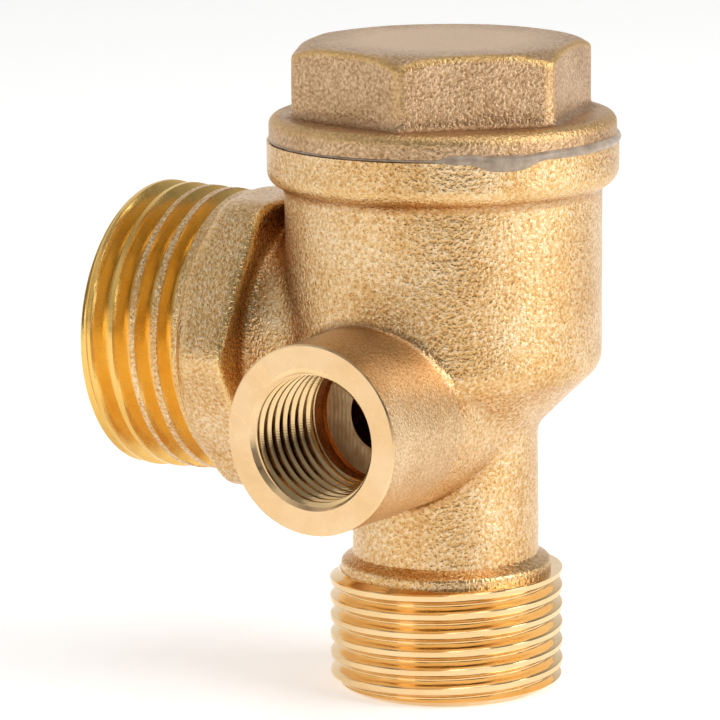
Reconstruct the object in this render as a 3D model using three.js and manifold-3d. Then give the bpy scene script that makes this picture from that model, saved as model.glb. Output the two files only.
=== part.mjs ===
// Brass check valve for an air compressor: a three-port body closed by a hexagonal cap.
//
// Air from the pump enters at the foot, lifts a spring-loaded piston with a rubber disc off
// its seat and leaves through the large side port. The small side port is tapped into the
// inlet bore, below the seat, so that an unloader line can relieve the pump side.
//
// Millimetres, +Z up. The valve axis is vertical, the outlet points along -X and the
// unloader port along -Y. The pieces are built round the valve axis with the foot at z = 0,
// and one group moves them so that the origin is the middle of the bounding box's bottom.

import * as THREE from 'three';
import { mergeVertices } from 'three/addons/utils/BufferGeometryUtils.js';
import Module from 'manifold-3d';

const wasm = await Module();
wasm.setup();

// ---------------------------------------------------------------- driving dimensions

// Threads: major radius, minor radius and pitch.
const OUTLET_THREAD = { major: 10.4775, minor: 9.3155, pitch: 1.814 }; // G 1/2, male
const INLET_THREAD = { major: 8.331, minor: 7.475, pitch: 1.337 }; // G 3/8, male
const PORT_TAPPED_R = 4.6; // M10 x 1, female, as a plain wall between its two radii

// Inlet stub and neck, from the foot up.
const INLET_BORE_R = 4.6;
const INLET_CHAMFER_Z = 0.9;
const INLET_THREAD_TOP = 7.4;
const INLET_CREST_AT = 3.55; // a thread crest on the outlet side
const RELIEF_FLANGE_R = 7.8;
const RELIEF_FLANGE_TOP = 9.0;
const NECK_R = 6.65;
const NECK_TOP = 19.0;

// Valve chamber and the collar that takes the cap.
const CHAMBER_R = 11.2;
const CHAMBER_BOTTOM = 24.0;
const COLLAR_R = 12.4;
const COLLAR_BOTTOM = 35.75;
const COLLAR_TOP = 39.35;
const EDGE_CHAMFER = 0.4;
const CAVITY_R = 9.2;
const CAVITY_FLOOR = 27.0;
const TAPPED_R = 9.75;
const TAPPED_BOTTOM = 33.8;
const SEAT_R = 5.9;
const SEAT_TOP = 28.2;

// Outlet port, measured outwards from the valve axis.
const OUTLET_Z = 24.13;
const OUTLET_END = 24.3;
const OUTLET_THREAD_START = 15.4;
const OUTLET_BORE_R = 6.5;
const OUTLET_BORE_START = 6.6;
const OUTLET_NECK_R = 8.8;
const OUTLET_CREST_AT = 18.293; // a thread crest on the unloader side
const WRENCH_FLATS = 20.8;
const WRENCH_START = 11.5;
const WRENCH_ROUND_R = 11.5;

// Unloader port, measured outwards from the valve axis.
const PORT_Z = 20.9;
const PORT_END = 18.04;
const PORT_R = 6.64;
const PORT_THREAD_DEPTH = 7.8;
const PORT_DRILL_DEPTH = 9.5;
const PORT_DRILL_R = 4.5;
const PORT_CROSS_R = 2.6;
const PORT_MOUTH = 0.45; // lead chamfer of the tapped hole

// Cap: flange, hexagon, threaded skirt, spring well and guide bore.
const SEAM_GAP = 0.2;
const FLANGE_R = 12.25;
const FLANGE_BOTTOM = COLLAR_TOP + SEAM_GAP;
const FLANGE_TOP = 41.2;
const FLANGE_ROUND = 0.8;
const CAP_TOP = 46.3;
const CAP_FLATS = 19.0;
const CAP_CORNER_DEG = 14.2; // first corner, from -Y towards +X
const CAP_CHAMFER_R = 9.565;
const SKIRT_R = 9.45;
const SKIRT_BOTTOM = 35.0;
const WELL_R = 7.0;
const WELL_CEILING = 38.4;
const GUIDE_R = 3.1;
const GUIDE_CEILING = 44.4;

// Moving piston, its rubber disc, washer and screw.
const PISTON_LIFT = 3.5;
const PISTON_R = 7.6;
const PISTON_TOP = SKIRT_BOTTOM - PISTON_LIFT;
const PISTON_RIM = 28.9;
const STEM_R = 3.0;
const STEM_TOP = 40.5;
const FIT_GAP = 0.05;
const RECESS_R = 6.5;
const RECESS_CEILING = 30.5;
const DISC_R = 6.4;
const DISC_BOTTOM = SEAT_TOP + FIT_GAP;
const WASHER_R = 3.3;
const WASHER_THICKNESS = 0.6;
const SCREW_R = 1.5;
const SCREW_HOLE_R = 1.6;
const SCREW_HEAD_R = 2.5;
const SCREW_HEAD_HEIGHT = 1.15;
const SCREW_TOP = 33.4;
const SCREW_HOLE_TOP = 33.9;
const SCREW_SLOT = { width: 0.7, depth: 0.6 };

// Return spring.
const SPRING_MEAN_R = 5.0;
const WIRE_R = 0.4;
const SPRING_TURNS = 4.5;

// Sealant ring squeezed out of the joint between the collar and the cap.
const BEAD_R = 12.75;

const ROUND = 48; // sides of a full circle on the large diameters
const FINE_ROUND = 32; // sides of a full circle on bores and small pieces
const OUTLET_THREAD_SIDES = 28;
const INLET_THREAD_SIDES = 24;

// Thread form within one pitch: flank up, crest flat, flank down, root flat.
const CREST_START = 0.28;
const CREST_END = 0.5;
const ROOT_START = 0.78;

// ---------------------------------------------------------------- geometry helpers

/** Closed solid from a closed three.js geometry, with its faces turned outwards. */
function solidOf(geometry) {
  const bare = geometry.clone();
  for (const name of ['normal', 'uv']) {
    if (bare.getAttribute(name)) {
      bare.deleteAttribute(name);
    }
  }
  const merged = mergeVertices(bare, 1e-4);
  const corners = merged.index.array;
  const position = merged.getAttribute('position');
  const [a, b, c] = [new THREE.Vector3(), new THREE.Vector3(), new THREE.Vector3()];
  const triangles = [];
  let volume = 0;
  for (let i = 0; i < corners.length; i += 3) {
    const [ia, ib, ic] = [corners[i], corners[i + 1], corners[i + 2]];
    if (ia === ib || ib === ic || ic === ia) {
      continue; // a sliver at a pole of a lathe
    }
    triangles.push(ia, ib, ic);
    a.fromBufferAttribute(position, ia);
    b.fromBufferAttribute(position, ib);
    c.fromBufferAttribute(position, ic);
    volume += a.dot(b.cross(c));
  }
  if (volume < 0) {
    triangles.reverse();
  }
  return new wasm.Manifold(new wasm.Mesh({
    numProp: 3,
    vertProperties: new Float32Array(position.array),
    triVerts: new Uint32Array(triangles),
  }));
}

/** Buffer geometry of a solid. */
function geometryOf(solid) {
  const mesh = solid.getMesh();
  const geometry = new THREE.BufferGeometry();
  geometry.setAttribute('position', new THREE.BufferAttribute(mesh.vertProperties, 3));
  geometry.setIndex(new THREE.BufferAttribute(mesh.triVerts, 1));
  geometry.computeVertexNormals();
  return geometry;
}

/** Solid of revolution about Z from (radius, height) pairs that start and end on the axis. */
function turned(pairs, sides = ROUND) {
  const outline = pairs.map(([radius, height]) => new THREE.Vector2(radius, height));
  return new THREE.LatheGeometry(outline, sides).rotateX(Math.PI / 2);
}

/** Plain round bar along Z. */
function bar(radius, bottom, top, sides = ROUND) {
  return turned([[0, bottom], [radius, bottom], [radius, top], [0, top]], sides);
}

/** Regular hexagonal bar along Z; the first corner lies at the given angle from +X. */
function hexBar(acrossFlats, bottom, top, cornerAngle) {
  const radius = acrossFlats / 2 / Math.cos(Math.PI / 6);
  const outline = new THREE.Shape();
  for (let i = 0; i < 6; i += 1) {
    const angle = cornerAngle + (i * Math.PI) / 3;
    const corner = [radius * Math.cos(angle), radius * Math.sin(angle)];
    if (i === 0) {
      outline.moveTo(...corner);
    } else {
      outline.lineTo(...corner);
    }
  }
  outline.closePath();
  return new THREE.ExtrudeGeometry(outline, { depth: top - bottom, bevelEnabled: false })
    .translate(0, 0, bottom);
}

/**
 * Right-hand threaded bar along Z. One pitch of the profile (flank, crest flat, flank, root
 * flat) is carried along a helix; the open ends close on two points of the axis, and the
 * caller trims them off. A crest's middle passes the given angle at the given height.
 */
function threadedBar({ major, minor, pitch }, bottom, top, crestAt, crestAngle, sides) {
  const profile = [
    [0, minor], [CREST_START, major], [CREST_END, major], [ROOT_START, minor],
  ];
  const turns = Math.ceil((top - bottom) / pitch) + 3;
  const phase = (crestAt - bottom) / pitch - (CREST_START + CREST_END) / 2;
  const start = bottom - (2 - (phase - Math.floor(phase))) * pitch;
  const rows = profile.length;
  const positions = [];
  for (let k = 0; k <= turns * sides; k += 1) {
    const angle = crestAngle + (k * 2 * Math.PI) / sides;
    for (const [fraction, radius] of profile) {
      const z = start + (k / sides + fraction) * pitch;
      positions.push(radius * Math.cos(angle), radius * Math.sin(angle), z);
    }
  }
  // The last profile point meets the first point of the profile one whole turn later.
  const at = (k, row) => (row < rows ? k * rows + row : (k + sides) * rows);
  const triangles = [];
  for (let k = 0; k < (turns - 1) * sides; k += 1) {
    for (let row = 0; row < rows; row += 1) {
      triangles.push(at(k, row), at(k + 1, row), at(k + 1, row + 1));
      triangles.push(at(k, row), at(k + 1, row + 1), at(k, row + 1));
    }
  }
  // Each end is a fan from a point of the axis to the rim: one turn and one profile.
  const low = positions.length / 3;
  positions.push(0, 0, start - pitch);
  const high = low + 1;
  const last = (turns - 1) * sides;
  positions.push(0, 0, start + (turns + 1) * pitch);
  for (let k = 0; k < sides; k += 1) {
    triangles.push(low, at(k + 1, 0), at(k, 0));
    triangles.push(high, at(last + k, 0), at(last + k + 1, 0));
  }
  for (let row = 0; row < rows; row += 1) {
    triangles.push(low, at(0, row), at(0, row + 1));
    triangles.push(high, at(last, row + 1), at(last, row));
  }
  const used = new Map();
  const kept = [];
  const index = triangles.map((i) => {
    if (!used.has(i)) {
      used.set(i, kept.length / 3);
      kept.push(positions[3 * i], positions[3 * i + 1], positions[3 * i + 2]);
    }
    return used.get(i);
  });
  const geometry = new THREE.BufferGeometry();
  geometry.setAttribute('position', new THREE.Float32BufferAttribute(kept, 3));
  geometry.setIndex(index);
  return geometry;
}

/** Place a geometry made along +Z on the outlet axis: +Z turns to -X, +X to +Z. */
function onOutlet(geometry) {
  return geometry.rotateY(-Math.PI / 2).translate(0, 0, OUTLET_Z);
}

/** Place a geometry made along +Z on the unloader axis: +Z turns to -Y, +Y to +Z. */
function onPort(geometry) {
  return geometry.rotateX(Math.PI / 2).translate(0, 0, PORT_Z);
}

/** Named mesh with its own standard material. */
function piece(name, geometry, color, roughness, metalness) {
  const material = new THREE.MeshStandardMaterial({ color, roughness, metalness });
  const mesh = new THREE.Mesh(geometry, material);
  mesh.name = name;
  return mesh;
}

// ---------------------------------------------------------------- pieces

/** Threaded stub with a lead chamfer at its free end, before it is bored. */
function inletStub() {
  const thread = solidOf(
    threadedBar(INLET_THREAD, 0, INLET_THREAD_TOP, INLET_CREST_AT, Math.PI, INLET_THREAD_SIDES),
  );
  const envelope = solidOf(turned([
    [0, 0],
    [INLET_THREAD.minor - 0.15, 0],
    [INLET_THREAD.major + 0.1, INLET_CHAMFER_Z],
    [INLET_THREAD.major + 0.1, INLET_THREAD_TOP],
    [0, INLET_THREAD_TOP],
  ]));
  return thread.intersect(envelope);
}

/** Outside of the main body, from the relief flange over the inlet thread to the collar. */
function bodyBarrel() {
  return solidOf(turned([
    [0, INLET_THREAD_TOP - 0.2],
    [INLET_THREAD.minor - 0.3, INLET_THREAD_TOP - 0.2],
    [RELIEF_FLANGE_R, INLET_THREAD_TOP + 0.4],
    [RELIEF_FLANGE_R, RELIEF_FLANGE_TOP],
    [NECK_R, RELIEF_FLANGE_TOP + 0.6],
    [NECK_R, NECK_TOP],
    [CHAMBER_R - 0.6, CHAMBER_BOTTOM - 1.0],
    [CHAMBER_R - 0.15, CHAMBER_BOTTOM - 0.5],
    [CHAMBER_R, CHAMBER_BOTTOM],
    [CHAMBER_R, COLLAR_BOTTOM],
    [COLLAR_R, COLLAR_BOTTOM + 1.2],
    [COLLAR_R, COLLAR_TOP - EDGE_CHAMFER],
    [COLLAR_R - EDGE_CHAMFER, COLLAR_TOP],
    [0, COLLAR_TOP],
  ]));
}

/** Outlet branch: round neck, wrench hexagon and male thread. */
function outletBranch() {
  const neck = solidOf(onOutlet(bar(OUTLET_NECK_R, 0, WRENCH_START + 1)));
  const wrench = solidOf(onOutlet(
    hexBar(WRENCH_FLATS, WRENCH_START, OUTLET_THREAD_START + 0.2, Math.PI / 2),
  ));
  const wrenchRound = solidOf(onOutlet(turned([
    [0, WRENCH_START],
    [WRENCH_ROUND_R - 1, WRENCH_START],
    [WRENCH_ROUND_R, WRENCH_START + 1],
    [WRENCH_ROUND_R, OUTLET_THREAD_START - 0.9],
    [WRENCH_ROUND_R - 1.1, OUTLET_THREAD_START + 0.2],
    [0, OUTLET_THREAD_START + 0.2],
  ])));
  const thread = solidOf(onOutlet(threadedBar(
    OUTLET_THREAD, OUTLET_THREAD_START, OUTLET_END, OUTLET_CREST_AT, -Math.PI / 2,
    OUTLET_THREAD_SIDES,
  )));
  const envelope = solidOf(onOutlet(turned([
    [0, OUTLET_THREAD_START],
    [OUTLET_THREAD.major + 0.1, OUTLET_THREAD_START],
    [OUTLET_THREAD.major + 0.1, OUTLET_END - 1.0],
    [OUTLET_THREAD.minor - 0.15, OUTLET_END],
    [0, OUTLET_END],
  ])));
  return neck.add(wrench.intersect(wrenchRound)).add(thread.intersect(envelope));
}

/** Outside of the unloader boss. */
function portBoss() {
  return solidOf(onPort(turned([
    [0, 0],
    [PORT_R, 0],
    [PORT_R, PORT_END - 0.3],
    [PORT_R - 0.3, PORT_END],
    [0, PORT_END],
  ])));
}

/** Air space of the chamber: cavity, tapped mouth and the raised seat left standing. */
function chamberSpace() {
  const cavity = solidOf(turned([
    [0, CAVITY_FLOOR],
    [CAVITY_R, CAVITY_FLOOR],
    [CAVITY_R, TAPPED_BOTTOM],
    [TAPPED_R, TAPPED_BOTTOM],
    [TAPPED_R, COLLAR_TOP + 1],
    [0, COLLAR_TOP + 1],
  ]));
  const seat = solidOf(bar(SEAT_R, CAVITY_FLOOR - 1, SEAT_TOP, FINE_ROUND));
  return cavity.subtract(seat);
}

/** Bores of the inlet and the outlet, with a lead chamfer at each mouth. */
function boreSpaces() {
  const inlet = solidOf(turned([
    [0, -1],
    [INLET_BORE_R + 0.5, -1],
    [INLET_BORE_R + 0.5, 0],
    [INLET_BORE_R, 0.5],
    [INLET_BORE_R, SEAT_TOP + 1],
    [0, SEAT_TOP + 1],
  ], FINE_ROUND));
  const outlet = solidOf(onOutlet(turned([
    [0, OUTLET_BORE_START],
    [OUTLET_BORE_R, OUTLET_BORE_START],
    [OUTLET_BORE_R, OUTLET_END - 0.5],
    [OUTLET_BORE_R + 0.5, OUTLET_END],
    [OUTLET_BORE_R + 0.5, OUTLET_END + 1],
    [0, OUTLET_END + 1],
  ], FINE_ROUND)));
  return inlet.add(outlet);
}

/** Tapped hole of the unloader port and the cross hole from it into the inlet bore. */
function portSpace() {
  const threadEnd = PORT_END - PORT_THREAD_DEPTH;
  const drillEnd = PORT_END - PORT_DRILL_DEPTH;
  return solidOf(onPort(turned([
    [0, 2],
    [PORT_CROSS_R, 2],
    [PORT_CROSS_R, drillEnd],
    [PORT_DRILL_R, drillEnd],
    [PORT_DRILL_R, threadEnd],
    [PORT_TAPPED_R, threadEnd],
    [PORT_TAPPED_R, PORT_END - PORT_MOUTH],
    [PORT_TAPPED_R + PORT_MOUTH, PORT_END],
    [PORT_TAPPED_R + PORT_MOUTH, PORT_END + 1],
    [0, PORT_END + 1],
  ], FINE_ROUND)));
}

/** Forged and machined body: inlet stub, chamber and both side branches in one piece. */
function valveBody() {
  const outside = inletStub().add(bodyBarrel()).add(outletBranch()).add(portBoss());
  const body = outside
    .subtract(chamberSpace())
    .subtract(boreSpaces())
    .subtract(portSpace());
  return piece('valve_body', geometryOf(body), 0xc79a5a, 0.42, 1.0);
}

/** Screwed cap: hexagon, flange, skirt, spring well and the blind bore that guides the stem. */
function hexCap() {
  const cornerAngle = THREE.MathUtils.degToRad(CAP_CORNER_DEG) - Math.PI / 2;
  const cornerR = CAP_FLATS / 2 / Math.cos(Math.PI / 6);
  const chamferDrop = (cornerR - CAP_CHAMFER_R) * Math.tan(Math.PI / 6);
  const hexagon = solidOf(hexBar(CAP_FLATS, FLANGE_TOP - 0.5, CAP_TOP, cornerAngle));
  const chamfer = solidOf(turned([
    [0, FLANGE_TOP - 0.5],
    [cornerR + 0.1, FLANGE_TOP - 0.5],
    [cornerR + 0.1, CAP_TOP - chamferDrop],
    [CAP_CHAMFER_R, CAP_TOP],
    [0, CAP_TOP],
  ], 72));
  const flange = solidOf(turned([
    [0, SKIRT_BOTTOM],
    [SKIRT_R, SKIRT_BOTTOM],
    [SKIRT_R, FLANGE_BOTTOM],
    [FLANGE_R - EDGE_CHAMFER / 2, FLANGE_BOTTOM],
    [FLANGE_R, FLANGE_BOTTOM + EDGE_CHAMFER],
    [FLANGE_R, FLANGE_TOP - FLANGE_ROUND],
    [FLANGE_R - 0.25, FLANGE_TOP - 0.25],
    [FLANGE_R - FLANGE_ROUND, FLANGE_TOP],
    [0, FLANGE_TOP],
  ]));
  const hollow = solidOf(turned([
    [0, SKIRT_BOTTOM - 1],
    [WELL_R, SKIRT_BOTTOM - 1],
    [WELL_R, WELL_CEILING],
    [GUIDE_R, WELL_CEILING],
    [GUIDE_R, GUIDE_CEILING],
    [0, GUIDE_CEILING],
  ], FINE_ROUND));
  const cap = hexagon.intersect(chamfer).add(flange).subtract(hollow);
  return piece('hex_cap', geometryOf(cap), 0xa98a5c, 0.5, 1.0);
}

/** Ring of cured sealant in the V between the collar's and the flange's chamfers. */
function sealantBead() {
  const seam = COLLAR_TOP + SEAM_GAP / 2;
  const ring = turned([
    [BEAD_R - 0.65, seam],
    [BEAD_R - 0.2, seam - 0.55],
    [BEAD_R, seam - 0.15],
    [BEAD_R, seam + 0.15],
    [BEAD_R - 0.3, seam + 0.55],
    [BEAD_R - 0.65, seam],
  ]);
  return piece('sealant_bead', geometryOf(solidOf(ring)), 0xb8a88e, 0.35, 0.0);
}

/** Piston: plate with a recess for the rubber disc and a stem that slides in the cap. */
function valvePiston() {
  const outside = solidOf(turned([
    [0, PISTON_RIM],
    [PISTON_R, PISTON_RIM],
    [PISTON_R, PISTON_TOP - 0.3],
    [PISTON_R - 0.3, PISTON_TOP],
    [STEM_R, PISTON_TOP],
    [STEM_R, STEM_TOP - 0.4],
    [STEM_R - 0.4, STEM_TOP],
    [0, STEM_TOP],
  ], FINE_ROUND));
  const recess = solidOf(turned([
    [0, PISTON_RIM - 1],
    [RECESS_R, PISTON_RIM - 1],
    [RECESS_R, RECESS_CEILING],
    [SCREW_HOLE_R, RECESS_CEILING],
    [SCREW_HOLE_R, SCREW_HOLE_TOP],
    [0, SCREW_HOLE_TOP],
  ], FINE_ROUND));
  return piece('valve_piston', geometryOf(outside.subtract(recess)), 0xd8b36a, 0.3, 1.0);
}

/** Flat ring along Z between two radii. */
function flatRing(innerR, outerR, bottom, top) {
  return turned([
    [innerR, bottom], [outerR, bottom], [outerR, top], [innerR, top], [innerR, bottom],
  ], FINE_ROUND);
}

/** Rubber disc that closes on the seat. */
function seatDisc() {
  const ring = flatRing(SCREW_HOLE_R, DISC_R, DISC_BOTTOM, RECESS_CEILING - FIT_GAP);
  return piece('seat_disc', geometryOf(solidOf(ring)), 0x1d1d1f, 0.7, 0.0);
}

/** Washer that clamps the rubber disc from below. */
function discWasher() {
  const top = DISC_BOTTOM - FIT_GAP;
  const ring = flatRing(SCREW_HOLE_R, WASHER_R, top - WASHER_THICKNESS, top);
  return piece('disc_washer', geometryOf(solidOf(ring)), 0xc9cbd0, 0.3, 1.0);
}

/** Slotted screw that holds the washer and the disc on the piston. */
function discScrew() {
  const headTop = DISC_BOTTOM - 2 * FIT_GAP - WASHER_THICKNESS;
  const headBottom = headTop - SCREW_HEAD_HEIGHT;
  const screw = solidOf(turned([
    [0, headBottom],
    [SCREW_HEAD_R - 0.5, headBottom],
    [SCREW_HEAD_R, headBottom + 0.4],
    [SCREW_HEAD_R, headTop],
    [SCREW_R, headTop],
    [SCREW_R, SCREW_TOP],
    [0, SCREW_TOP],
  ], 32));
  const slot = solidOf(
    new THREE.BoxGeometry(3 * SCREW_HEAD_R, SCREW_SLOT.width, 2 * SCREW_SLOT.depth)
      .translate(0, 0, headBottom),
  );
  return piece('disc_screw', geometryOf(screw.subtract(slot)), 0xb9bcc2, 0.3, 1.0);
}

/** Helix round +Z that starts at the bottom height and ends at the top height. */
class Helix extends THREE.Curve {
  constructor(radius, bottom, top, turns) {
    super();
    Object.assign(this, { radius, bottom, top, turns });
  }

  getPoint(t, target = new THREE.Vector3()) {
    const angle = 2 * Math.PI * this.turns * t;
    return target.set(
      this.radius * Math.cos(angle),
      this.radius * Math.sin(angle),
      this.bottom + (this.top - this.bottom) * t,
    );
  }
}

/** Compression spring between the piston plate and the ceiling of the cap's well. */
function returnSpring() {
  const clearance = WIRE_R + 2 * FIT_GAP;
  const centreline = new Helix(
    SPRING_MEAN_R, PISTON_TOP + clearance, WELL_CEILING - clearance, SPRING_TURNS,
  );
  const section = new THREE.Shape().absarc(0, 0, WIRE_R, 0, 2 * Math.PI);
  const wire = new THREE.ExtrudeGeometry(section, {
    steps: Math.round(SPRING_TURNS * 18),
    curveSegments: 4,
    extrudePath: centreline,
    bevelEnabled: false,
  });
  return piece('return_spring', geometryOf(solidOf(wire)), 0xc4c6cb, 0.28, 1.0);
}

// ---------------------------------------------------------------- assembly

const valve = new THREE.Group();
valve.name = 'check_valve';
valve.add(
  valveBody(),
  hexCap(),
  sealantBead(),
  valvePiston(),
  seatDisc(),
  discWasher(),
  discScrew(),
  returnSpring(),
);
valve.position.set((OUTLET_END - BEAD_R) / 2, (PORT_END - BEAD_R) / 2, 0);

export default valve;
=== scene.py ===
"""Brass check valve of an air compressor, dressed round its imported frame.

Shapes are worked out in millimetres from the valve axis, with the foot at height zero, the
outlet along -X and the unloader port along -Y. ``Site`` carries them into the frame of the
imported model, in metres.
"""
import logging
import math
from dataclasses import dataclass, field
from enum import Enum
from typing import Any, Callable, Sequence

import bpy
import numpy as np
from mathutils import Matrix, Vector


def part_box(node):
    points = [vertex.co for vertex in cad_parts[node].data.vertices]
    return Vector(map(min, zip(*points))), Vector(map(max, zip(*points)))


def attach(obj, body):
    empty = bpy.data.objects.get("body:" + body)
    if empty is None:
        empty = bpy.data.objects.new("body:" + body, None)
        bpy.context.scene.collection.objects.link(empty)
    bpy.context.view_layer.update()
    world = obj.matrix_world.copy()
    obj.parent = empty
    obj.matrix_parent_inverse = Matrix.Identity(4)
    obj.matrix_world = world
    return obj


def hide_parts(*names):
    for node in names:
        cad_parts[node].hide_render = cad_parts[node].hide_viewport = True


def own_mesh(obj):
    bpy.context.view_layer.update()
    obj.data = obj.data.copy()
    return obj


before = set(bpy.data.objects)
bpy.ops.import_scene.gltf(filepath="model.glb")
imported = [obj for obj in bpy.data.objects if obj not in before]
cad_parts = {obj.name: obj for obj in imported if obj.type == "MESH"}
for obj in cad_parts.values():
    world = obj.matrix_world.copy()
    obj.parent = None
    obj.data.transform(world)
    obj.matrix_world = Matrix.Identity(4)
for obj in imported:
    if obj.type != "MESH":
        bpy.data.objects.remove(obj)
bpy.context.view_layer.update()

MM = 0.001
TURN = 2.0 * math.pi
MID_HEIGHT = 24.0  # where the lights aim, in millimetres
SHARP_DEGREES = 32.0  # edges sharper than this stay crisp
LOG = logging.getLogger("check_valve")

Array = np.ndarray
Shape = bpy.types.Object
Material = bpy.types.Material
Socket = bpy.types.NodeSocket
Pair = tuple[float, float]
Inputs = dict[str | int, Any]


# --------------------------------------------------------- placing and meshing


class Join(Enum):
    """What a boolean does with a second shape."""

    ADD = "UNION"
    CUT = "DIFFERENCE"
    OVERLAP = "INTERSECT"


class Heading(Enum):
    """Where a shape made along +Z points once it is placed."""

    UP = "up"
    OUTLET = "outlet"
    UNLOADER = "unloader"


@dataclass(frozen=True)
class Site:
    """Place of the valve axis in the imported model, and the heights of the two side ports."""

    axis: tuple[float, float, float]
    outlet_height: float = 24.13
    unloader_height: float = 20.9

    @classmethod
    def from_frame(cls) -> "Site":
        """Read the axis off the cap, which is round, and the foot off the body."""
        low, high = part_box("hex_cap")
        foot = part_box("valve_body")[0].z
        return cls(((low.x + high.x) / 2, (low.y + high.y) / 2, foot))

    def placed(self, points: Array, heading: Heading) -> Array:
        """Turn points made along +Z onto their own axis.

        Args:
            points: Millimetres, shape (n, 3).
            heading: The axis that +Z becomes.

        Returns:
            Millimetres from the valve axis, shape (n, 3).
        """
        x, y, z = points[:, 0], points[:, 1], points[:, 2]
        if heading is Heading.OUTLET:
            return np.stack([-z, y, x + self.outlet_height], 1)
        if heading is Heading.UNLOADER:
            return np.stack([x, -z, y + self.unloader_height], 1)
        return points

    def metres(self, points: Array) -> Array:
        """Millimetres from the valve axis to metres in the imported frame."""
        return points * MM + np.array(self.axis)


SITE = Site.from_frame()


def grid_faces(rows: int, columns: int, shift: int = 0) -> Array:
    """Quads of a grid whose columns close on themselves.

    Args:
        rows: Points along the profile.
        columns: Points round the axis.
        shift: Rows that the profile has climbed when it comes round to the first column.

    Returns:
        Corner numbers, shape (n, 4), for points numbered row by row.
    """
    row, column = np.meshgrid(np.arange(rows - 1 - shift), np.arange(columns), indexing="ij")
    following = (column + 1) % columns
    lift = np.where(column == columns - 1, shift, 0)
    near, far = row * columns + column, (row + lift) * columns + following
    faces = np.stack([near, far, far + columns, near + columns], -1).reshape(-1, 4)
    return faces


def outward(points: Array, faces: Array) -> Array:
    """Faces turned so that the volume they enclose is positive."""
    a, b, c, d = (points[faces[:, i]] for i in range(4))
    twice = np.einsum("ij,ij->i", a, np.cross(b, c)) + np.einsum("ij,ij->i", a, np.cross(c, d))
    return faces[:, ::-1] if twice.sum() < 0 else faces


def make_shape(name: str, points: Array, faces: Array, heading: Heading = Heading.UP) -> Shape:
    """Object of a closed mesh, welded where points coincide.

    Args:
        name: The piece's name.
        points: Millimetres, shape (n, 3).
        faces: Quads; two equal corners make a triangle.
        heading: The axis that +Z becomes.

    Returns:
        The object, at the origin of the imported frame.
    """
    placed = SITE.placed(points, heading)
    merged, back = np.unique(np.round(placed, 6), axis=0, return_inverse=True)
    faces = outward(merged, back.reshape(-1)[faces])
    keep = faces != np.roll(faces, 1, axis=1)
    solid = keep.sum(1) > 2
    corners, counts = faces[solid][keep[solid]], keep[solid].sum(1)
    mesh = bpy.data.meshes.new(name)
    mesh.vertices.add(len(merged))
    mesh.vertices.foreach_set("co", SITE.metres(merged).astype(np.float32).ravel())
    mesh.loops.add(len(corners))
    mesh.loops.foreach_set("vertex_index", corners.astype(np.int32))
    mesh.polygons.add(len(counts))
    mesh.polygons.foreach_set("loop_start", (np.cumsum(counts) - counts).astype(np.int32))
    mesh.update(calc_edges=True)
    shape = bpy.data.objects.new(name, mesh)
    bpy.context.scene.collection.objects.link(shape)
    return shape


def turned(
    name: str, profile: Sequence[tuple[float, float]], sides: int, heading: Heading = Heading.UP
) -> Shape:
    """Solid of revolution: each (radius, height) pair of the profile is swept round +Z.

    Args:
        name: The piece's name.
        profile: Pairs that start and end on the axis, or that close on themselves.
        sides: Points round the axis.
        heading: The axis that +Z becomes.

    Returns:
        The solid.
    """
    radius, height = np.array(profile, float).T
    angle = np.arange(sides) * TURN / sides
    across, ahead = np.outer(radius, np.cos(angle)), np.outer(radius, np.sin(angle))
    points = np.stack([across, ahead, np.repeat(height[:, None], sides, 1)], -1)
    return make_shape(name, points.reshape(-1, 3), grid_faces(len(radius), sides), heading)


def rounded(profile: Sequence[tuple[float, float, float]], steps: int = 5) -> list[Pair]:
    """Profile whose corners are arcs.

    Each inner corner is given with a radius. The arc is drawn as a quadratic curve that
    leaves the corner's two sides one setback away from it.

    Args:
        profile: (radius from the axis, height, corner radius) of each corner.
        steps: Points along an arc.

    Returns:
        (radius, height) of each point.
    """
    corners = np.array(profile, float)
    made: list[tuple[float, float]] = []
    for i, (radius, height, corner) in enumerate(profile):
        if corner <= 0 or i in (0, len(profile) - 1):
            made.append((radius, height))
            continue
        here = corners[i, :2]
        before, after = corners[i - 1, :2] - here, corners[i + 1, :2] - here
        back = before * min(corner / np.hypot(*before), 0.49)
        ahead = after * min(corner / np.hypot(*after), 0.49)
        share = np.linspace(0, 1, steps + 1)[:, None]
        curve = here + back * (1 - share) ** 2 + ahead * share**2
        made.extend((float(r), float(z)) for r, z in curve)
    return made


def joined(base: Shape, tool: Shape, join: Join) -> Shape:
    """Add, cut or keep the overlap of two closed shapes; the tool is used up.

    Args:
        base: The shape that is kept, changed in place.
        tool: The other shape; its faces bring their own material.
        join: What is done.

    Returns:
        The base.
    """
    change = base.modifiers.new("join", "BOOLEAN")
    change.object = tool
    change.operation = join.value
    change.solver = "MANIFOLD"
    change.material_mode = "TRANSFER"
    seen = base.evaluated_get(bpy.context.evaluated_depsgraph_get())
    mesh = bpy.data.meshes.new_from_object(seen)
    old = base.data
    if len(mesh.vertices) in (0, len(old.vertices)):
        raise RuntimeError(f"{join.value} of {base.name} and {tool.name} did nothing")
    base.modifiers.clear()
    base.data = mesh
    bpy.data.meshes.remove(old)
    bpy.data.objects.remove(tool)
    return base


def trimmed(
    rod: Shape, outline: Sequence[Pair], sides: int, heading: Heading = Heading.UP
) -> Shape:
    """Keep what a threaded bar shares with a solid of revolution.

    Args:
        rod: The bar, changed in place.
        outline: Profile of the solid, as for ``turned``.
        sides: Points round its axis.
        heading: The axis that +Z becomes.

    Returns:
        The bar.
    """
    return joined(rod, turned(rod.name + "_envelope", outline, sides, heading), Join.OVERLAP)


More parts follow.
